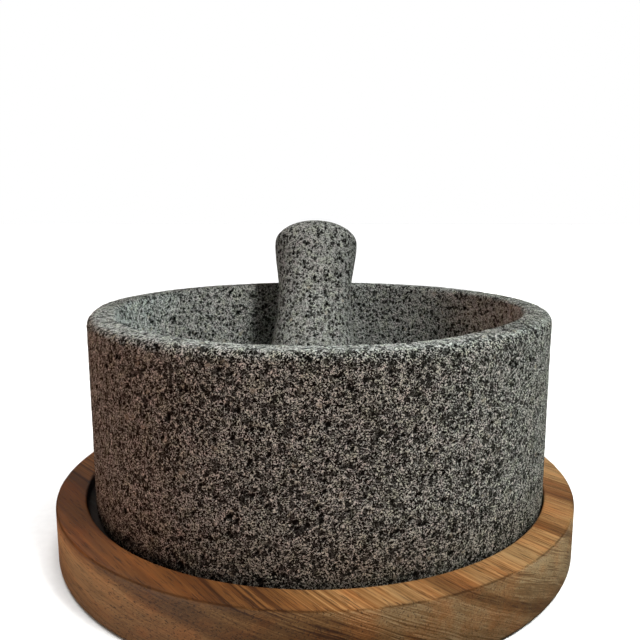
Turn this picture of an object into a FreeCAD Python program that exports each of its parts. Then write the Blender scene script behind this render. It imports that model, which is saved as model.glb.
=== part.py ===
import FreeCAD, Part
import math
import os

from FreeCAD import Vector

# A molcajete: a round stone mortar bowl and its loose stone pestle, on a turned wooden base.
# Millimetres, +Z up. The origin is the centre of the base's underside, and -Y is the front.

# Wooden base: a solid disc with a shallow round recess that the bowl stands in
BASE_RADIUS = 114.0
BASE_THICKNESS = 24.0
BASE_BOTTOM_ROUND = 2.5
BASE_TOP_ROUND = 0.8
RECESS_RADIUS = 102.0
RECESS_DEPTH = 6.0
RECESS_FLOOR_ROUND = 1.5

# Mortar bowl: straight-sided outside, with a straight inner wall that rounds into a flat floor
BOWL_RADIUS = 100.0
BOWL_HEIGHT = 84.0
BOWL_WALL = 12.0
BOWL_FLOOR = 18.0
BOWL_FOOT_ROUND = 2.0
RIM_OUTER_ROUND = 4.0
RIM_INNER_ROUND = 2.0
CAVITY_CORNER_ROUND = 30.0

# Pestle: a domed knob, a slight waist and a broader domed foot, turned about one axis
PESTLE_LENGTH = 104.0
KNOB_RADIUS = 23.0
KNOB_DOME = 11.8
WAIST_RADIUS = 20.0
WAIST_BELOW_KNOB = 28.5
FOOT_RADIUS = 24.5
FOOT_DOME = 13.0

# The bowl is pushed to +X in its recess. The pestle's foot stands on the bowl's floor, and its
# side leans back on the rim. Where curved faces would touch, they stop this far apart.
GAP = 0.3
PESTLE_LEAN = 22.0
PESTLE_SIDE_TILT = 1.7
PESTLE_FOOT_X = -3.6

BOWL_CENTRE_X = RECESS_RADIUS - BOWL_RADIUS - GAP
BOWL_BOTTOM_Z = BASE_THICKNESS - RECESS_DEPTH
RIM_Z = BOWL_BOTTOM_Z + BOWL_HEIGHT
CAVITY_RADIUS = BOWL_RADIUS - BOWL_WALL
CAVITY_FLOOR_Z = BOWL_BOTTOM_Z + BOWL_FLOOR
KNOB_HEIGHT = PESTLE_LENGTH - KNOB_DOME
WAIST_HEIGHT = KNOB_HEIGHT - WAIST_BELOW_KNOB

AXIS_BASE = Vector(0, 0, 0)
UP = Vector(0, 0, 1)


def rounded_outline(corners):
    """A closed wire in the XZ plane through corners given as (radius, height, rounding)."""
    points = [Vector(radius, 0, height) for radius, height, _ in corners]
    edges = []
    runs = []
    for i, (_, _, rounding) in enumerate(corners):
        point = points[i]
        back = (points[i - 1] - point).normalize()
        onward = (points[(i + 1) % len(points)] - point).normalize()
        half_angle = back.getAngle(onward) / 2
        reach = rounding / math.tan(half_angle)
        start = point + back * reach
        end = point + onward * reach
        runs.append((start, end))
        if rounding > 0:
            inward = (back + onward).normalize()
            middle = point + inward * rounding * (1 / math.sin(half_angle) - 1)
            edges.append(Part.Arc(start, middle, end).toShape())
    for i, (_, end) in enumerate(runs):
        next_start = runs[(i + 1) % len(runs)][0]
        edges.append(Part.LineSegment(end, next_start).toShape())
    return Part.Wire(Part.__sortEdges__(edges))


def turned(wire):
    """The solid that an outline in the XZ plane sweeps in one turn about the Z axis."""
    return Part.Face(wire).revolve(AXIS_BASE, UP, 360)


def wooden_base():
    recess_floor_z = BASE_THICKNESS - RECESS_DEPTH
    return turned(
        rounded_outline(
            [
                (0, 0, 0),
                (BASE_RADIUS, 0, BASE_BOTTOM_ROUND),
                (BASE_RADIUS, BASE_THICKNESS, BASE_TOP_ROUND),
                (RECESS_RADIUS, BASE_THICKNESS, BASE_TOP_ROUND),
                (RECESS_RADIUS, recess_floor_z, RECESS_FLOOR_ROUND),
                (0, recess_floor_z, 0),
            ]
        )
    )


def mortar_bowl():
    bowl = turned(
        rounded_outline(
            [
                (0, BOWL_BOTTOM_Z, 0),
                (BOWL_RADIUS, BOWL_BOTTOM_Z, BOWL_FOOT_ROUND),
                (BOWL_RADIUS, RIM_Z, RIM_OUTER_ROUND),
                (CAVITY_RADIUS, RIM_Z, RIM_INNER_ROUND),
                (CAVITY_RADIUS, CAVITY_FLOOR_Z, CAVITY_CORNER_ROUND),
                (0, CAVITY_FLOOR_Z, 0),
            ]
        )
    )
    bowl.translate(Vector(BOWL_CENTRE_X, 0, 0))
    return bowl


def pestle_side():
    """The upright pestle's side: one smooth curve, upright at its foot, waist and knob."""
    points = [
        Vector(FOOT_RADIUS, 0, FOOT_DOME),
        Vector(WAIST_RADIUS, 0, WAIST_HEIGHT),
        Vector(KNOB_RADIUS, 0, KNOB_HEIGHT),
    ]
    curve = Part.BSplineCurve()
    curve.interpolate(Points=points, Tangents=[UP] * 3, TangentFlags=[True] * 3, Scale=False)
    return curve


def pestle_dome(radius, height, tip_height):
    """A quarter ellipse from the side, at the given height, to a tip exactly on the axis."""
    widest = Vector(radius, 0, height)
    tip = Vector(0, 0, tip_height)
    ellipse = Part.Ellipse(widest, tip, Vector(0, 0, height))
    quarter = Part.Arc(ellipse, 0, math.pi / 2).toBSpline()
    last = quarter.NbPoles
    quarter.setPole(last, tip, quarter.getWeight(last))
    return quarter


def side_radius(height):
    """The upright pestle's radius at a height on its side."""
    side = pestle_side()
    nearest = side.parameter(Vector(WAIST_RADIUS, 0, height))
    return side.value(nearest).x


def foot_place():
    """Where the centre of the foot's widest circle stands, in the plane that the pestle leans in.

    The foot's dome is half an ellipsoid, so its lowest point is known from the lean. The axis
    then passes the rim's inner rounding at the side's radius, the rounding and the gap.
    """
    lean = math.radians(PESTLE_LEAN)
    drop = math.hypot(FOOT_RADIUS * math.sin(lean), FOOT_DOME * math.cos(lean))
    foot_z = CAVITY_FLOOR_Z + GAP + drop
    rim_y = CAVITY_RADIUS + RIM_INNER_ROUND
    rim_z = RIM_Z - RIM_INNER_ROUND
    radius = WAIST_RADIUS
    for _ in range(4):
        away = radius + RIM_INNER_ROUND + GAP
        axis_z = rim_z + away * math.sin(lean)
        axis_y = rim_y - away * math.cos(lean)
        along = (axis_z - foot_z) / math.cos(lean)
        radius = side_radius(FOOT_DOME + along)
    return Vector(BOWL_CENTRE_X + PESTLE_FOOT_X, axis_y - along * math.sin(lean), foot_z)


def pestle():
    outline = [
        pestle_dome(FOOT_RADIUS, FOOT_DOME, 0).toShape(),
        pestle_side().toShape(),
        pestle_dome(KNOB_RADIUS, KNOB_HEIGHT, PESTLE_LENGTH).toShape(),
        Part.LineSegment(Vector(0, 0, 0), Vector(0, 0, PESTLE_LENGTH)).toShape(),
    ]
    solid = turned(Part.Wire(Part.__sortEdges__(outline)))
    solid.translate(Vector(0, 0, -FOOT_DOME))
    solid.rotate(AXIS_BASE, Vector(1, 0, 0), -PESTLE_LEAN)
    solid.rotate(AXIS_BASE, Vector(0, 1, 0), PESTLE_SIDE_TILT)
    solid.translate(foot_place())
    return solid


def main():
    os.makedirs("parts", exist_ok=True)
    wooden_base().exportStep("parts/wooden_base.step")
    mortar_bowl().exportStep("parts/mortar_bowl.step")
    pestle().exportStep("parts/pestle.step")


main()
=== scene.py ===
"""A molcajete: a rough basalt mortar bowl and pestle on a turned wooden base.

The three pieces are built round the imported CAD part, in metres, with +Z up and the front at -Y.
"""
import math

import bpy
import numpy as np
from mathutils import Euler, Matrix, Vector, kdtree, noise


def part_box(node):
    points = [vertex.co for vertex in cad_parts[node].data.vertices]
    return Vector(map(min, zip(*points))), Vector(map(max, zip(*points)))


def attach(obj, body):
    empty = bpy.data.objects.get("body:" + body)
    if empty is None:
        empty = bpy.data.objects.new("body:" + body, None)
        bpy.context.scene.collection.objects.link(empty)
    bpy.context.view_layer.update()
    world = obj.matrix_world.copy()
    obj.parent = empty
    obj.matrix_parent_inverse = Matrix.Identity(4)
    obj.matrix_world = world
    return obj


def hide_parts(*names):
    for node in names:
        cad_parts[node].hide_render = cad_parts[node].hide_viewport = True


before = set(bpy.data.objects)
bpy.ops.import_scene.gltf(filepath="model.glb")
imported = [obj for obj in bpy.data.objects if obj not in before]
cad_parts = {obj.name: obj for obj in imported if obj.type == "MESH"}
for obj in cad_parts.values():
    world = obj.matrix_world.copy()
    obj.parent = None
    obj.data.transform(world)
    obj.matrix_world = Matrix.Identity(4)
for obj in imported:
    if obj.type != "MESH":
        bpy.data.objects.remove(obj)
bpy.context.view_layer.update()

MM = 0.001

# ---------------------------------------------------------------- the object's driving dimensions

BASE_BOTTOM_ROUND = 2.5 * MM
BASE_EDGE_ROUND = 0.8 * MM
RECESS_RADIUS = 102 * MM
RECESS_DEPTH = 6 * MM
RECESS_FLOOR_ROUND = 1.5 * MM

BOWL_WALL = 12 * MM
BOWL_FLOOR = 18 * MM
BOWL_FOOT_ROUND = 2 * MM
RIM_OUTER_ROUND = 4 * MM
RIM_INNER_ROUND = 2 * MM
CAVITY_CORNER_ROUND = 30 * MM

# The rim is worn down at the front, and the wear reaches a little way down the wall
RIM_WEAR = 1.5 * MM
RIM_WEAR_REACH = 20 * MM
RIM_WEAR_HEADING = math.radians(-112)

PESTLE_LENGTH = 104 * MM
KNOB_RADIUS = 23 * MM
KNOB_DOME = 11.8 * MM
WAIST_RADIUS = 20 * MM
WAIST_BELOW_KNOB = 28.5 * MM
FOOT_RADIUS = 24.5 * MM
FOOT_DOME = 13 * MM
PESTLE_LEAN = math.radians(22)
PESTLE_SIDE_TILT = math.radians(1.7)

# The pestle's colour is painted lighter below this height and fades out above it: painted light on its
# lower part
PAINTED_LIGHT_START = 62 * MM
PAINTED_LIGHT_FADE = 30 * MM

# ------------------------------------------------------------------------------- turned meshes

FEWEST_ARC_STEPS = 5
# Points on the widest rings. Nearer the axis a ring has a half or a quarter of them and so on, as
# long as the gap from point to point stays below the widest gap.
POINTS_ROUND = 576
PESTLE_POINTS_ROUND = 288
BOWL_WIDEST_GAP = 1.75 * MM
PESTLE_WIDEST_GAP = 0.8 * MM
BASE_WIDEST_GAP = 4 * MM
# The gap between rings: small where the photo shows the surface, and larger where it is hidden
HIDDEN_SPACING = 4 * MM
BOWL_UNDERSIDE_SPACING = 3.5 * MM
BOWL_WALL_SPACING = 1.15 * MM
BOWL_RIM_SPACING = 1.0 * MM
BOWL_FLOOR_SPACING = 1.7 * MM
PESTLE_SPACING = 0.55 * MM
BASE_SIDE_SPACING = 1.6 * MM
BASE_TOP_SPACING = 1.2 * MM
RECESS_WALL_SPACING = 0.8 * MM


def steps(length, spacing):
    return max(1, math.ceil(length / spacing))


def toward(start, end):
    """The unit vector from start to end."""
    return (end - start) / np.linalg.norm(end - start)


def outline(corners):
    """Points (radius, height) along straight runs with rounded corners, from axis to axis.

    A corner is (radius, height, rounding, spacing), with the spacing for the run that leads to it.
    """
    spots = [np.array(corner[:2], float) for corner in corners]
    path = [spots[0]]
    for i in range(1, len(corners)):
        rounding, spacing = corners[i][2:]
        run_end = spots[i]
        arc = []
        if rounding > 0:
            back = toward(spots[i], spots[i - 1])
            onward = toward(spots[i], spots[i + 1])
            run_end = spots[i] + back * rounding
            centre = run_end + onward * rounding
            count = max(FEWEST_ARC_STEPS, steps(rounding * math.pi / 2, spacing))
            for k in range(1, count + 1):
                angle = math.pi / 2 * k / count
                across = onward * rounding * math.cos(angle)
                arc.append(centre - across - back * rounding * math.sin(angle))
        run_start = path[-1]
        run = run_end - run_start
        count = steps(np.linalg.norm(run), spacing)
        path += [run_start + run * k / count for k in range(1, count + 1)]
        path += arc
    return np.array(path)


def smooth_step(x):
    x = np.clip(x, 0, 1)
    return x * x * (3 - 2 * x)


def pestle_outline(spacing):
    """The upright pestle's outline: a domed foot, a side with a slight waist, and a domed knob."""
    knob_height = PESTLE_LENGTH - KNOB_DOME
    waist_height = knob_height - WAIST_BELOW_KNOB
    dome_arc = FOOT_RADIUS * 1.2
    turn = np.linspace(0, math.pi / 2, steps(dome_arc, spacing))
    foot = np.column_stack([FOOT_RADIUS * np.sin(turn), FOOT_DOME * (1 - np.cos(turn))])
    height = np.linspace(FOOT_DOME, knob_height, steps(knob_height - FOOT_DOME, spacing))
    below = smooth_step((height - FOOT_DOME) / (waist_height - FOOT_DOME))
    above = smooth_step((height - waist_height) / WAIST_BELOW_KNOB)
    radius = FOOT_RADIUS + (WAIST_RADIUS - FOOT_RADIUS) * below + (KNOB_RADIUS - WAIST_RADIUS) * above
    side = np.column_stack([radius, height])
    knob = np.column_stack([KNOB_RADIUS * np.cos(turn), knob_height + KNOB_DOME * np.sin(turn)])
    return np.vstack([foot, side[1:], knob[1:]])


class Turned:
    """A closed surface of rings round the Z axis, with its outward normals and the area per point.

    Rings near the axis have fewer points: the full count is halved while they stay close enough.
    """

    def __init__(self, path, full_turn, widest):
        path = np.array(path)
        path[0, 0] = path[-1, 0] = 0
        along = np.gradient(path, axis=0)
        lengths = np.linalg.norm(along, axis=1)
        facing = np.column_stack([along[:, 1], -along[:, 0]]) / lengths[:, None]
        facing[0] = (0, -1)
        facing[-1] = (0, 1)
        self.counts = self.ring_counts(path[:, 0], full_turn, widest)
        self.starts = np.concatenate([[0], np.cumsum(self.counts)])
        points, normals, areas = [], [], []
        for (radius, height), (out, up), length, count in zip(path, facing, lengths, self.counts):
            turn = np.arange(count) * 2 * math.pi / count
            cosine, sine = np.cos(turn), np.sin(turn)
            points.append(np.column_stack([radius * cosine, radius * sine, np.full(count, height)]))
            normals.append(np.column_stack([out * cosine, out * sine, np.full(count, up)]))
            areas.append(np.full(count, 2 * math.pi * radius * length / count))
        self.points = np.vstack(points)
        self.normals = np.vstack(normals)
        self.areas = np.concatenate(areas)
        self.faces = self.stitched()

    @staticmethod
    def ring_counts(radii, full_turn, widest):
        counts = []
        for radius in radii:
            count = full_turn
            while count % 2 == 0 and 2 * math.pi * radius / (count // 2) <= widest:
                count //= 2
            counts.append(count if radius > 0 else 1)
        return counts

    def stitched(self):
        """Faces between neighbouring rings: quads where their counts match, or else triangles."""
        faces = []
        for k in range(len(self.counts) - 1):
            low, high = self.counts[k], self.counts[k + 1]
            a, b = int(self.starts[k]), int(self.starts[k + 1])
            for j in range(max(low, high)):
                if low == 1:
                    faces.append((a, b + (j + 1) % high, b + j))
                elif high == 1:
                    faces.append((a + j, a + (j + 1) % low, b))
                elif low == high:
                    after = (j + 1) % low
                    faces.append((a + j, a + after, b + after, b + j))
                elif low < high:
                    here, after = j * low // high, ((j + 1) * low // high) % low
                    faces.append((a + here, b + (j + 1) % high, b + j))
                    if after != here:
                        faces.append((a + here, a + after, b + (j + 1) % high))
                else:
                    here, after = j * high // low, ((j + 1) * high // low) % high
                    faces.append((a + j, a + (j + 1) % low, b + here))
                    if after != here:
                        faces.append((a + (j + 1) % low, b + after, b + here))
        return faces


def piece(name, points, faces, attributes):
    mesh = bpy.data.meshes.new(name)
    mesh.from_pydata(points.tolist(), [], faces)
    mesh.polygons.foreach_set("use_smooth", [True] * len(mesh.polygons))
    for key, values in attributes.items():
        layer = mesh.attributes.new(key, "FLOAT", "POINT")
        layer.data.foreach_set("value", np.asarray(values, np.float32))
    mesh.validate()
    made = bpy.data.objects.new(name, mesh)
    bpy.context.scene.collection.objects.link(made)
    return made


# ------------------------------------------------------------------------------- stone surface

WAVES_PER_METRE = 45
GRAINS_PER_METRE = 420
SQUARE_CM_PER_SQUARE_METRE = 1e4
CLUSTERED_SHARE = 0.3
CLUSTER_SPREAD = 1.6
# A pit is an ellipsoid: these weigh the distance from its centre, and again along its short axis
PIT_EVERY_WAY = 0.75
PIT_SHORT_WAY = 0.9
PIT_SEARCH = 1.3
# The stone is worked smooth inside the rim's outer edge, and further in where the rim is worn
WORKED_START = 0.2 * MM
WORKED_START_AT_WEAR = 1.3 * MM
WORKED_FADE = 1.4 * MM
RIM_BAND_START = 2.5 * MM
RIM_BAND_FADE = 2 * MM
# Painted shade on the bowl: darker over the lower wall up to this height, and near black just above the
# base
FOOT_SHADE_HEIGHT = 26 * MM
CONTACT_SHADE_HEIGHT = 2.2 * MM


def field(points, scale, octaves=1):
    """Smooth 3-D noise between about -1 and 1, with cells of 1/scale metres."""
    if octaves == 1:
        return np.array([noise.noise(Vector(p) * scale) for p in points])
    return np.array([noise.fractal(Vector(p) * scale, 1.0, 2.0, octaves) for p in points])


def pits(points, areas, draw, per_square_cm, sizes):
    """How far each point lies in a pit, from 0 to 1, for pits strewn evenly over the surface.

    A share of the pits has one to three more close by.
    """
    tree = kdtree.KDTree(len(points))
    for i, p in enumerate(points):
        tree.insert(p, i)
    tree.balance()
    count = int(areas.sum() * SQUARE_CM_PER_SQUARE_METRE * per_square_cm)
    chosen = draw.choice(len(points), count, p=areas / areas.sum())
    centres = list(points[chosen])
    for i in chosen[: int(count * CLUSTERED_SHARE)]:
        for _ in range(draw.integers(1, 4)):
            centres.append(points[i] + draw.normal(0, CLUSTER_SPREAD * sizes[1], 3))
    share = np.zeros(len(points))
    for centre in centres:
        radius = sizes[0] + (sizes[1] - sizes[0]) * draw.random() ** 2
        short = draw.normal(size=3)
        short /= np.linalg.norm(short)
        for spot, i, _ in tree.find_range(centre, radius * PIT_SEARCH):
            away = np.array(spot) - centre
            reach = (away @ away) * PIT_EVERY_WAY + (away @ short) ** 2 * PIT_SHORT_WAY
            share[i] = max(share[i], 1 - reach / radius**2)
    return share


def stone_piece(name, turned, seed, pits_per_square_cm, pit_sizes, pit_depth, wave, grain, zones, place):
    """A turned stone surface with a hand-worked wave, a coarse grain and pits, all cut inward.

    place is the function that takes the cut points to where the piece stands.
    """
    draw = np.random.default_rng(seed)
    pit = pits(turned.points, turned.areas, draw, pits_per_square_cm, pit_sizes)
    offset = turned.points + seed
    cut = wave * (0.5 + 0.5 * field(offset, WAVES_PER_METRE))
    cut += grain * (0.5 + 0.5 * field(offset, GRAINS_PER_METRE, octaves=2))
    cut += pit_depth * pit
    moved = turned.points - turned.normals * np.clip(cut, 0, None)[:, None]
    return piece(name, place(moved), turned.faces, {"pit": pit, **zones})


def worn_side(points):
    """1 on the side where the rim is worn, falling to 0 round the rest of the bowl."""
    heading = np.arctan2(points[:, 1], points[:, 0])
    return smooth_step((np.cos(heading - RIM_WEAR_HEADING) - 0.3) / 0.5)


def bowl_zones(points, radius, top, worn):
    """Where the stone is worked smooth or paler, and where shade is painted on it: darker towards the foot,
    and near black where it meets the base.
    """
    distance = np.hypot(points[:, 0], points[:, 1])
    height = points[:, 2]
    base_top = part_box("wooden_base")[1].z
    worked_start = WORKED_START + (WORKED_START_AT_WEAR - WORKED_START) * worn
    worked = smooth_step((radius - worked_start - distance) / WORKED_FADE)
    rim = worked * smooth_step((height - top + RIM_BAND_START) / RIM_BAND_FADE)
    return {
        "worked": worked * (1 - 0.6 * rim * (1 - worn)),
        "paler": rim * worn,
        # painted shade, darker towards the bowl's foot
        "foot": 1 - smooth_step((height - base_top) / FOOT_SHADE_HEIGHT),
        # painted shade, near black just above the base
        "contact": 1 - smooth_step((height - base_top) / CONTACT_SHADE_HEIGHT),
    }


def mortar_bowl():
    low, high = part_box("mortar_bowl")
    radius = (high.x - low.x) / 2
    middle = np.array([(high.x + low.x) / 2, (high.y + low.y) / 2, 0])
    cavity = radius - BOWL_WALL
    floor_z = low.z + BOWL_FLOOR
    path = outline(
        [
            (0, low.z, 0, 0),
            (radius, low.z, BOWL_FOOT_ROUND, BOWL_UNDERSIDE_SPACING),
            (radius, high.z, RIM_OUTER_ROUND, BOWL_WALL_SPACING),
            (cavity, high.z, RIM_INNER_ROUND, BOWL_RIM_SPACING),
            (cavity, floor_z, CAVITY_CORNER_ROUND, BOWL_WALL_SPACING),
            (0, floor_z, 0, BOWL_FLOOR_SPACING),
        ]
    )
    turned = Turned(path, POINTS_ROUND, BOWL_WIDEST_GAP)
    worn = worn_side(turned.points)
    zones = bowl_zones(turned.points, radius, high.z, worn)
    near_rim = smooth_step((turned.points[:, 2] - high.z) / RIM_WEAR_REACH + 1)
    turned.points[:, 2] -= RIM_WEAR * worn * near_rim
    made = stone_piece(
        "stone_bowl",
        turned,
        seed=7,
        pits_per_square_cm=1.3,
        pit_sizes=(0.6 * MM, 1.3 * MM),
        pit_depth=0.8 * MM,
        wave=0.25 * MM,
        grain=0.3 * MM,
        zones=zones,
        place=lambda moved: moved + middle,
    )
    made.data.materials.append(stone_material("bowl_basalt", BOWL_SPOTS, BOWL_EVEN))
    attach(made, "mortar")
    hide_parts("mortar_bowl")
    return made


def stone_pestle():
    low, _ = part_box("pestle")
    turned = Turned(pestle_outline(PESTLE_SPACING), PESTLE_POINTS_ROUND, PESTLE_WIDEST_GAP)
    lean = Euler((-PESTLE_LEAN, 0, 0)).to_matrix()
    tilt = Euler((0, PESTLE_SIDE_TILT, 0)).to_matrix()
    stand = np.array(tilt @ lean)
    shift = np.array(low) - (turned.points @ stand.T).min(0)
    # painted light: 1 on the pestle's lower part, fading to 0 above
    paler = 1 - smooth_step((turned.points[:, 2] - PAINTED_LIGHT_START) / PAINTED_LIGHT_FADE)
    made = stone_piece(
        "stone_pestle",
        turned,
        seed=23,
        pits_per_square_cm=7,
        pit_sizes=(0.45 * MM, 0.95 * MM),
        pit_depth=0.45 * MM,
        wave=0.3 * MM,
        grain=0.12 * MM,
        zones={"worked": np.ones(len(turned.points)), "paler": paler},
        place=lambda moved: moved @ stand.T + shift,
    )
    made.data.materials.append(stone_material("pestle_basalt", PESTLE_SPOTS, PESTLE_EVEN))
    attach(made, "pestle")
    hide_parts("pestle")
    return made


# ------------------------------------------------------------------------------- wooden surface

EDGE_WEAR = 0.35 * MM
EDGE_WEAR_WIDTH = 0.65 * MM
WEAR_MARKS_PER_METRE = 160
# Painted shade in the recess under the bowl: how far below the top it starts and how far it fades in
RECESS_SHADE_START = 0.3 * MM
RECESS_SHADE_FADE = 1.5 * MM


def turned_base():
    low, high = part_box("wooden_base")
    radius = (high.x - low.x) / 2
    recess_z = high.z - RECESS_DEPTH
    path = outline(
        [
            (0, low.z, 0, 0),
            (radius, low.z, BASE_BOTTOM_ROUND, HIDDEN_SPACING),
            (radius, high.z, BASE_EDGE_ROUND, BASE_SIDE_SPACING),
            (RECESS_RADIUS, high.z, BASE_EDGE_ROUND, BASE_TOP_SPACING),
            (RECESS_RADIUS, recess_z, RECESS_FLOOR_ROUND, RECESS_WALL_SPACING),
            (0, recess_z, 0, HIDDEN_SPACING),
        ]
    )
    turned = Turned(path, POINTS_ROUND, BASE_WIDEST_GAP)
    points = turned.points
    distance = np.hypot(points[:, 0], points[:, 1])
    corner = np.hypot(distance - radius, points[:, 2] - high.z)
    edge = np.exp(-((corner / EDGE_WEAR_WIDTH) ** 2))
    wear = EDGE_WEAR * edge * (0.5 + 0.5 * field(points, WEAR_MARKS_PER_METRE, octaves=3))
    moved = points - turned.normals * np.clip(wear, 0, None)[:, None]
    # painted shade for the recess under the bowl
    below_top = smooth_step((high.z - RECESS_SHADE_START - points[:, 2]) / RECESS_SHADE_FADE)
    recess = below_top * (distance < RECESS_RADIUS + MM)
    made = piece("turned_base", moved, turned.faces, {"edge": edge, "recess": recess})
    made.data.materials.append(wood_material("oiled_wood"))
    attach(made, "base")
    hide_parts("wooden_base")
    return made


# ------------------------------------------------------------------------------------ materials


class Tree:
    """A material's node tree, with short calls for the nodes that it uses."""

    def __init__(self, name):
        self.material = bpy.data.materials.new(name)
        self.material.use_nodes = True
        self.nodes = self.material.node_tree.nodes
        self.links = self.material.node_tree.links
        self.shader = self.nodes["Principled BSDF"]

    def add(self, kind, inputs, **settings):
        node = self.nodes.new(kind)
        for key, value in settings.items():
            setattr(node, key, value)
        for key, value in inputs.items():
            self.put(node.inputs[key], value)
        return node

    def put(self, socket, value):
        if isinstance(value, bpy.types.NodeSocket):
            self.links.new(value, socket)
        else:
            socket.default_value = value

    def calc(self, operation, a, b=0.0, clamp=False):
        return self.add("ShaderNodeMath", {0: a, 1: b}, operation=operation, use_clamp=clamp).outputs[0]

    def spread(self, value, low, high, to_low=0.0, to_high=1.0, smooth=True):
        """value, taken from the range low..high to the range to_low..to_high."""
        kind = "SMOOTHSTEP" if smooth else "LINEAR"
        inputs = {"Value": value, "From Min": low, "From Max": high, "To Min": to_low, "To Max": to_high}
        return self.add("ShaderNodeMapRange", inputs, interpolation_type=kind).outputs[0]

    def scaled_over(self, value, share, start, end):
        """value times a factor that goes from start to end as share goes from 0 to 1."""
        return self.calc("MULTIPLY", value, self.spread(share, 0.0, 1.0, start, end, smooth=False))

    def noise(self, place, scale, detail=2.0, rough=0.5, output="Fac"):
        inputs = {"Vector": place, "Scale": scale, "Detail": detail, "Roughness": rough}
        return self.add("ShaderNodeTexNoise", inputs).outputs[output]

    def even_noise(self, place, scale, detail=2.0, rough=0.5):
        """Noise about zero."""
        return self.calc("SUBTRACT", self.noise(place, scale, detail, rough), 0.5)

    def cells(self, place, scale):
        """The distance to the nearest cell's centre, and a random number for that cell."""
        node = self.add("ShaderNodeTexVoronoi", {"Vector": place, "Scale": scale})
        apart = self.add("ShaderNodeSeparateColor", {0: node.outputs["Color"]})
        return node.outputs["Distance"], apart.outputs[0]

    def ramp(self, value, stops):
        node = self.add("ShaderNodeValToRGB", {0: value})
        ramp = node.color_ramp
        while len(ramp.elements) < len(stops):
            ramp.elements.new(1.0)
        for element, (position, colour) in zip(ramp.elements, stops):
            element.position = position
            element.color = (*colour, 1.0)
        return node.outputs[0]

    def blend(self, share, a, b, kind="MIX"):
        node = self.add("ShaderNodeMix", {0: share}, data_type="RGBA", blend_type=kind)
        self.put(node.inputs[6], a if isinstance(a, bpy.types.NodeSocket) else (*a, 1.0))
        self.put(node.inputs[7], b if isinstance(b, bpy.types.NodeSocket) else (*b, 1.0))
        return node.outputs[2]

    def tinted(self, colour, tint, share=1.0):
        return self.blend(share, colour, tint, "MULTIPLY")

    def shifted(self, place, by):
        return self.add("ShaderNodeVectorMath", {0: place, 1: by}, operation="ADD").outputs[0]

    def scaled(self, place, by):
        return self.add("ShaderNodeVectorMath", {0: place, 1: by}, operation="MULTIPLY").outputs[0]

    def height(self, place):
        return self.add("ShaderNodeSeparateXYZ", {0: place}).outputs[2]

    def object_place(self):
        return self.add("ShaderNodeTexCoord", {}).outputs["Object"]

    def attribute(self, name):
        return self.add("ShaderNodeAttribute", {}, attribute_name=name).outputs["Fac"]

    def finish(self, colour, roughness, height, depth, strength, specular):
        bump = self.add("ShaderNodeBump", {"Height": height, "Distance": depth, "Strength": strength})
        self.put(self.shader.inputs["Base Color"], colour)
        self.put(self.shader.inputs["Roughness"], roughness)
        self.put(self.shader.inputs["Normal"], bump.outputs[0])
        self.put(self.shader.inputs["Specular IOR Level"], specular)
        return self.material


# Linear greys, by how light a crystal is, for the rough stone and for stone that is worked smooth
ROUGH = [
    (0.48, (0.004, 0.004, 0.004)),
    (0.55, (0.03, 0.03, 0.029)),
    (0.61, (0.36, 0.366, 0.350)),
    (0.74, (0.69, 0.70, 0.66)),
    (1.00, (0.96, 0.96, 0.92)),
]
BOWL_EVEN = [(0.20, (0.035, 0.035, 0.034)), (0.50, (0.275, 0.28, 0.27)), (0.80, (0.84, 0.85, 0.83))]
PESTLE_EVEN = [(0.20, (0.08, 0.08, 0.078)), (0.50, (0.265, 0.268, 0.258)), (0.80, (0.58, 0.59, 0.57))]
# Lighter stone: wear on the bowl's worn rim, and painted light on the pestle's lower part
PALE_TINT = (1.12, 1.14, 1.14)
PALE_CRYSTAL = (0.52, 0.47, 0.38)
# Painted shade for the inside of the pores and pits
PORE = (0.006, 0.0055, 0.005)
# Painted shade, multiplied in over the bowl's lower wall towards the base
FOOT_SHADE_TINT = (0.80, 0.72, 0.67)
# Painted shade where the bowl meets the base
CONTACT_SHADE = (0.006, 0.004, 0.003)

# How many of each feature there are in a metre of stone
ROUGH_CRYSTALS = 3150
EVEN_CRYSTALS = 2400
FINE_PORES = 1350
BOWL_SPOTS = 560
PESTLE_SPOTS = 540
PALE_CRYSTALS = 620
# How far noise bends the cells, and the coarse spots once more
WARP = 0.9 * MM
SPOT_BEND = 1.0 * MM


def crystals(t, place, warped, per_metre):
    """The noise that fine crystals are drawn from, and how light each one is."""
    grain = t.noise(place, per_metre, detail=2, rough=0.7)
    _, crystal = t.cells(warped, 0.9 * per_metre)
    lightness = t.calc("ADD", t.calc("MULTIPLY", grain, 0.9), t.calc("MULTIPLY", crystal, 0.55))
    return grain, t.spread(lightness, 0.42, 1.02, smooth=False)


def pores(t, place, per_metre, rarity, sizes, edge):
    """Where the pores are. Cells whose random number is below rarity have only the smallest size."""
    distance, chance = t.cells(place, per_metre)
    size = t.spread(chance, rarity, 1.0, *sizes, smooth=False)
    return t.spread(t.calc("SUBTRACT", size, distance), *edge)


def dark_spots(t, warped, wander, spots_per_metre, grain, worked, paler):
    """Fine and coarse pores, and the pits of the mesh with a ragged outline."""
    fine = pores(t, warped, FINE_PORES, 0.35, (0.1, 0.5), (-0.05, 0.12))
    fine = t.scaled_over(fine, worked, 0.85, 0.15)
    bent = t.shifted(warped, t.scaled(wander, (SPOT_BEND,) * 3))
    coarse = pores(t, bent, spots_per_metre, 0.05, (0.0, 0.66), (-0.05, 0.08))
    coarse = t.scaled_over(coarse, worked, 0.85, 0.9)
    coarse = t.scaled_over(coarse, paler, 1.0, 0.95)
    ragged = t.calc("MULTIPLY", t.calc("SUBTRACT", grain, 0.5), 1.6)
    hole = t.spread(t.calc("ADD", t.attribute("pit"), ragged), 0.15, 0.45)
    return t.calc("MAXIMUM", t.calc("MAXIMUM", fine, coarse), hole, clamp=True)


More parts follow.
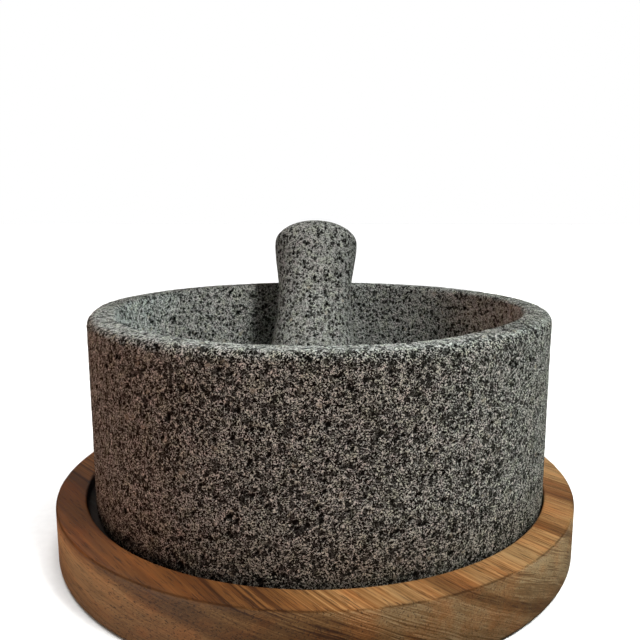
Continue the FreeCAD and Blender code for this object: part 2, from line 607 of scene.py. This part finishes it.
def mineral_tints(t, place, stone):
    """stone with a slow drift of hue and smaller pinkish and greenish patches."""
    drift = t.ramp(
        t.noise(place, 38, detail=3, rough=0.6),
        [
            (0.30, (0.98, 1.0, 0.99)),
            (0.50, (1.0, 1.0, 1.0)),
            (0.75, (1.02, 0.995, 0.96)),
        ],
    )
    patches = t.ramp(
        t.noise(place, 230, detail=2, rough=0.6),
        [
            (0.36, (1.03, 0.978, 1.0)),
            (0.46, (1.0, 1.0, 1.0)),
            (0.54, (1.0, 1.0, 1.0)),
            (0.64, (0.995, 1.012, 0.94)),
        ],
    )
    return t.tinted(t.tinted(stone, drift), patches)


def stone_material(name, spots_per_metre, even_greys):
    """Vesicular basalt. Rough outside, with crystals and pores under a millimetre.

    Where the surface is worked smooth, it is paler and more even, and shows mostly the larger pores.
    """
    t = Tree(name)
    place = t.object_place()
    paler = t.attribute("paler")
    wander = t.shifted(t.noise(place, 900, detail=1, output="Color"), (-0.5, -0.5, -0.5))
    warped = t.shifted(place, t.scaled(wander, (WARP,) * 3))

    fine, rough_light = crystals(t, place, warped, ROUGH_CRYSTALS)
    grain, even_light = crystals(t, place, warped, EVEN_CRYSTALS)
    ragged = t.calc("ADD", t.calc("SUBTRACT", grain, 0.5), t.even_noise(place, 330))
    worked = t.calc("ADD", t.attribute("worked"), t.calc("MULTIPLY", ragged, 1.2))
    worked = t.spread(worked, 0.35, 0.65)

    stone = t.blend(worked, t.ramp(rough_light, ROUGH), t.ramp(even_light, even_greys))
    # the bowl's worn rim is paler stone; on the pestle this is painted light on the lower part
    stone = t.tinted(stone, PALE_TINT, share=paler)
    stone = mineral_tints(t, place, stone)
    _, chance = t.cells(warped, PALE_CRYSTALS)
    stone = t.blend(t.spread(chance, 0.985, 0.992, 0.0, 0.6), stone, PALE_CRYSTAL)
    dark = dark_spots(t, warped, wander, spots_per_metre, grain, worked, paler)
    # painted shade: the pores and the mesh's pits are drawn near black
    stone = t.blend(dark, stone, PORE)
    # painted shade: the lower wall darker towards the base
    stone = t.tinted(stone, FOOT_SHADE_TINT, share=t.attribute("foot"))
    # painted shade: near black just above the base, where the bowl meets it
    stone = t.blend(t.calc("MULTIPLY", t.attribute("contact"), 0.4), stone, CONTACT_SHADE)

    roughness = t.spread(fine, 0.3, 0.7, 0.95, 0.75, smooth=False)
    relief = t.blend(worked, rough_light, even_light)
    relief = t.calc("SUBTRACT", t.calc("MULTIPLY", relief, 0.6), dark)
    relief = t.scaled_over(relief, worked, 1.0, 0.4)
    return t.finish(stone, roughness, relief, depth=0.6 * MM, strength=1.0, specular=0.06)


GRAIN_HEADING = math.radians(50)
GRAIN_DIP = math.radians(27)
# The growth layers, set to follow the bands of the real wood: how pale each one is, by its
# height in mm along the layers' normal, counted from the middle of the base's underside
LAYERS = [
    (-46, 0.62), (-34, 0.70), (-31.5, 0.40), (-27, 0.40), (-24.6, 0.50), (-21.5, 0.36), (-19, 0.40),
    (-14, 0.58), (-9, 0.84), (-5, 0.86), (4, 0.86), (6.6, 0.56), (8.4, 0.50), (10.4, 0.80), (14, 0.76),
    (19, 0.92), (24, 0.92), (29, 0.86), (32, 0.82), (33.8, 0.46), (36, 0.86), (42, 0.92), (45.5, 0.76),
    (47.4, 0.40), (49.6, 0.66), (54, 0.76), (57, 1.0), (76, 0.8),
]
# How strongly fine dark and pale lines show in them
LINED = [
    (-46, 0.3), (-28, 0.15), (-24, 0.35), (-9, 0.8), (-4, 0.35), (5, 0.3), (7.5, 0.6), (12, 0.25),
    (16, 0.6), (30, 0.7), (37, 0.25), (45, 0.6), (55, 0.6), (76, 0.4),
]
FIRST_LAYER = LAYERS[0][0]
LAST_LAYER = LAYERS[-1][0]
LAYER_WAVES = 5 * MM
LAYER_RIPPLES = 1.2 * MM
LINES_PER_METRE = 1700
WOOD_BROWNS = [
    (0.00, (0.023, 0.010, 0.005)),
    (0.25, (0.082, 0.031, 0.012)),
    (0.50, (0.188, 0.074, 0.023)),
    (0.80, (0.348, 0.153, 0.051)),
    (1.00, (0.550, 0.290, 0.118)),
]
LAYER_HUES = [
    (0.18, (0.98, 0.89, 0.78)),
    (0.28, (0.965, 0.91, 0.83)),
    (0.42, (0.955, 0.995, 1.035)),
]
PATCH_HUES = [
    (0.36, (0.92, 0.98, 1.03)),
    (0.48, (1.0, 1.0, 1.0)),
    (0.64, (1.12, 0.93, 0.81)),
]
# Painted light: the wood's sides are made lighter and cooler than its top
SIDE_PAINTED_LIGHT = (1.08, 1.22, 1.48)
# Painted shade: the wood darker towards the bottom of its side
LOW_PAINTED_SHADE = (0.62, 0.60, 0.60)
VESSEL = (0.045, 0.020, 0.010)
WORN_EDGE = (0.03, 0.013, 0.007)
# Painted shade for the recess under the bowl
RECESS_PAINTED_SHADE = (0.010, 0.006, 0.004)


def by_layer(t, band, listed):
    """A value for each spot, from a list of (height in mm, value) through the growth layers."""
    span = LAST_LAYER - FIRST_LAYER
    return t.ramp(band, [((at - FIRST_LAYER) / span, (value,) * 3) for at, value in listed])


def growth_layer(t, grown):
    """The height along the layers' normal, gently waved."""
    waves = t.even_noise(t.scaled(grown, (7, 22, 22)), 1)
    ripples = t.even_noise(t.scaled(grown, (12, 70, 70)), 1)
    layer = t.calc("ADD", t.height(grown), t.calc("MULTIPLY", waves, LAYER_WAVES))
    return t.calc("ADD", layer, t.calc("MULTIPLY", ripples, LAYER_RIPPLES))


def growth_lines(t, grown, layer, lined):
    """Fine dark and pale lines along the layers, which drift a little with the place."""
    drift = t.scaled(grown, (0.006, 0.03, 0))
    across = t.shifted(t.add("ShaderNodeCombineXYZ", {0: layer}).outputs[0], drift)
    lines = t.noise(across, LINES_PER_METRE, detail=2, rough=0.7)
    darker = t.calc("MULTIPLY", t.spread(lines, 0.55, 0.60), lined)
    paler = t.calc("MULTIPLY", t.spread(lines, 0.45, 0.40), lined)
    return darker, paler


def wood_material(name):
    """Oiled hardwood. Its fibres lie level, and its growth layers dip across them."""
    t = Tree(name)
    place = t.object_place()
    level = t.add("ShaderNodeMapping", {"Vector": place, "Rotation": (0, 0, GRAIN_HEADING)}).outputs[0]
    grown = t.add("ShaderNodeMapping", {"Vector": level, "Rotation": (GRAIN_DIP, 0, 0)}).outputs[0]
    layer = growth_layer(t, grown)
    band = t.spread(layer, FIRST_LAYER * MM, LAST_LAYER * MM, smooth=False)
    darker, paler = growth_lines(t, grown, layer, by_layer(t, band, LINED))
    fibre = t.noise(t.scaled(grown, (30, 1500, 1500)), 1, detail=2, rough=0.6)
    mottle = t.noise(t.scaled(grown, (26, 70, 70)), 1, detail=3, rough=0.6)

    shade = t.calc("SUBTRACT", by_layer(t, band, LAYERS), t.calc("MULTIPLY", darker, 0.42))
    shade = t.calc("ADD", shade, t.calc("MULTIPLY", paler, 0.32))
    shade = t.calc("ADD", shade, t.calc("MULTIPLY", t.calc("SUBTRACT", fibre, 0.5), 0.38))
    shade = t.calc("ADD", shade, t.calc("MULTIPLY", t.calc("SUBTRACT", mottle, 0.5), 0.40))
    colour = t.tinted(t.ramp(shade, WOOD_BROWNS), t.ramp(band, LAYER_HUES))
    patch = t.noise(t.scaled(grown, (24, 90, 90)), 1, detail=3, rough=0.6)
    colour = t.tinted(colour, t.ramp(patch, PATCH_HUES))

    # painted light: the more a face turns away from up, the lighter and cooler it is tinted
    facing_up = t.height(t.add("ShaderNodeTexCoord", {}).outputs["Normal"])
    colour = t.tinted(colour, SIDE_PAINTED_LIGHT, share=t.spread(facing_up, 0.9, 0.3))
    # painted shade: darker towards the bottom, from 20 mm down to 4 mm
    low = t.spread(t.height(place), 4 * MM, 20 * MM, 1.0, 0.0, smooth=False)
    colour = t.tinted(colour, LOW_PAINTED_SHADE, share=low)
    vessel = t.spread(t.noise(t.scaled(grown, (130, 2300, 2300)), 1, detail=1), 0.60, 0.68)
    colour = t.blend(t.calc("MULTIPLY", vessel, 0.7), colour, VESSEL)
    worn = t.calc("MULTIPLY", t.attribute("edge"), t.spread(mottle, 0.38, 0.5, 0.35, 0.95))
    colour = t.blend(worn, colour, WORN_EDGE)
    # painted shade: the recess under the bowl drawn near black
    colour = t.blend(t.calc("MULTIPLY", t.attribute("recess"), 0.9), colour, RECESS_PAINTED_SHADE)

    roughness = t.spread(fibre, 0.3, 0.7, 0.5, 0.66, smooth=False)
    relief = t.calc("SUBTRACT", t.calc("MULTIPLY", fibre, 0.35), t.calc("MULTIPLY", vessel, 0.8))
    relief = t.calc("SUBTRACT", relief, t.calc("MULTIPLY", darker, 0.3))
    gloss = t.spread(t.attribute("edge"), 0.0, 0.6, 0.22, 0.02)
    return t.finish(colour, roughness, relief, depth=0.12 * MM, strength=0.9, specular=gloss)


def floor_material():
    t = Tree("pale_floor")
    speck = t.noise(t.object_place(), 260, detail=3, rough=0.6)
    colour = t.ramp(speck, [(0.3, (0.86, 0.86, 0.86)), (0.7, (0.9, 0.9, 0.9))])
    return t.finish(colour, 0.8, speck, depth=0.1 * MM, strength=0.2, specular=0.0)


def backdrop_material():
    t = Tree("white_backdrop")
    t.shader.inputs["Base Color"].default_value = (0, 0, 0, 1)
    t.shader.inputs["Emission Color"].default_value = (1, 1, 1, 1)
    t.shader.inputs["Emission Strength"].default_value = 1.0
    return t.material


# ----------------------------------------------------------------------------------- the studio

STUDIO_RADIUS = 12.0
STUDIO_SIDES = 96
DOME_RINGS = 16
DOME_START = -0.05
CAMERA_PLACE = (0.0002, -0.29183, 0.14063)
CAMERA_PITCH = math.radians(9.06)
CAMERA_TURN = math.radians(0.36)
CAMERA_LENS = 36.49
SENSOR_WIDTH = 36
SUBJECT = Vector((0, 0, 0.07))
AMBIENT_COLOUR = (1, 0.97, 0.93, 1)
AMBIENT_STRENGTH = 0.01


def seen_only_by_the_camera(thing):
    """A floor or backdrop that is lit to near white and lights nothing itself."""
    thing.visible_diffuse = False
    thing.visible_glossy = False
    thing.visible_transmission = False
    thing.visible_shadow = False


def studio_ring(radius, height):
    turn = np.arange(STUDIO_SIDES) * 2 * math.pi / STUDIO_SIDES
    return np.column_stack([radius * np.cos(turn), radius * np.sin(turn), np.full(STUDIO_SIDES, height)])


def studio_floor():
    points = np.vstack([studio_ring(STUDIO_RADIUS, 0), [[0, 0, 0]]])
    faces = [(j, (j + 1) % STUDIO_SIDES, STUDIO_SIDES) for j in range(STUDIO_SIDES)]
    floor = piece("studio_floor", points, faces, {})
    floor.data.materials.append(floor_material())
    seen_only_by_the_camera(floor)
    return floor


def studio_backdrop():
    """A white dome that closes the view above the floor."""
    rise = np.linspace(DOME_START, math.pi / 2, DOME_RINGS)
    rings = [studio_ring(STUDIO_RADIUS * math.cos(a), STUDIO_RADIUS * math.sin(a)) for a in rise]
    faces = []
    for k in range(DOME_RINGS - 1):
        low = k * STUDIO_SIDES
        high = low + STUDIO_SIDES
        for j in range(STUDIO_SIDES):
            after = (j + 1) % STUDIO_SIDES
            faces.append((low + j, high + j, high + after, low + after))
    dome = piece("studio_backdrop", np.vstack(rings), faces, {})
    dome.data.materials.append(backdrop_material())
    seen_only_by_the_camera(dome)


def aimed_light(name, data, place, energy, colour, lit):
    """A light aimed at the subject. With lit, it lights only the pieces in that list."""
    data.energy = energy
    data.color = colour
    light = bpy.data.objects.new(name, data)
    light.location = place
    light.rotation_euler = (SUBJECT - Vector(place)).to_track_quat("-Z", "Y").to_euler()
    bpy.context.scene.collection.objects.link(light)
    if lit:
        group = bpy.data.collections.new(name + "_lit")
        for shown in lit:
            group.objects.link(shown)
        light.light_linking.receiver_collection = group


def soft_light(name, place, size, watts, colour, lit=()):
    data = bpy.data.lights.new(name, "AREA")
    data.shape = "DISK"
    data.size = size
    aimed_light(name, data, place, watts, colour, lit)


def sunlight(name, place, spread, strength, lit):
    data = bpy.data.lights.new(name, "SUN")
    data.angle = spread
    aimed_light(name, data, place, strength, (1, 1, 1), lit)


def studio_lights(base, bowl, pestle, floor):
    """The key light, the fills that follow the photo's uneven light, and the sun that whitens the floor."""
    soft_light("key", (0.38, -0.35, 0.80), 0.20, 6.6, (0.98, 1.0, 0.95))
    soft_light("high_fill", (-0.70, -0.20, 0.65), 0.60, 0.75, (0.92, 0.88, 0.78))
    soft_light("warm_fill", (-0.95, 0.05, 0.20), 0.80, 3.0, (1.0, 0.50, 0.34), lit=[bowl, base])
    soft_light("side_fill", (0.95, 0.12, 0.25), 0.55, 5.3, (0.78, 1.0, 0.97), lit=[bowl, base])
    soft_light("front_fill", (-0.35, -0.90, 0.05), 0.60, 1.3, (1.0, 0.85, 0.76), lit=[bowl])
    soft_light("pestle_fill", (-0.50, -0.70, 0.25), 0.60, 2.4, (1.0, 0.86, 0.80), lit=[pestle])
    soft_light("table_bounce", (0, 0, -0.02), 1.4, 1.8, (1.0, 0.48, 0.31), lit=[bowl])
    soft_light("base_back_fill", (-0.50, 0.45, 0.90), 0.60, 3.2, (1.0, 1.0, 0.98), lit=[base])
    soft_light("base_low_fill", (-0.75, -0.65, 0.10), 0.60, 6.5, (0.82, 1.0, 1.12), lit=[base])
    soft_light("back_fill", (0.10, 0.95, 0.10), 0.60, 2.5, (1.0, 0.97, 0.93))
    sunlight("floor_sun", (0.3, -0.3, 2.2), math.radians(50), 4.0, lit=[floor])


def studio_world():
    world = bpy.data.worlds.new("studio")
    bpy.context.scene.world = world
    world.use_nodes = True
    background = world.node_tree.nodes["Background"]
    background.inputs["Color"].default_value = AMBIENT_COLOUR
    background.inputs["Strength"].default_value = AMBIENT_STRENGTH


def studio_camera():
    data = bpy.data.cameras.new("camera")
    data.lens = CAMERA_LENS
    data.sensor_width = SENSOR_WIDTH
    data.clip_start = 0.01
    data.clip_end = 100
    camera = bpy.data.objects.new("camera", data)
    camera.location = CAMERA_PLACE
    camera.rotation_euler = (math.pi / 2 - CAMERA_PITCH, 0, -CAMERA_TURN)
    bpy.context.scene.collection.objects.link(camera)
    bpy.context.scene.camera = camera


base = turned_base()
bowl = mortar_bowl()
pestle = stone_pestle()
floor = studio_floor()
studio_backdrop()
studio_lights(base, bowl, pestle, floor)
studio_world()
studio_camera()
bpy.context.scene.view_settings.view_transform = "Standard"
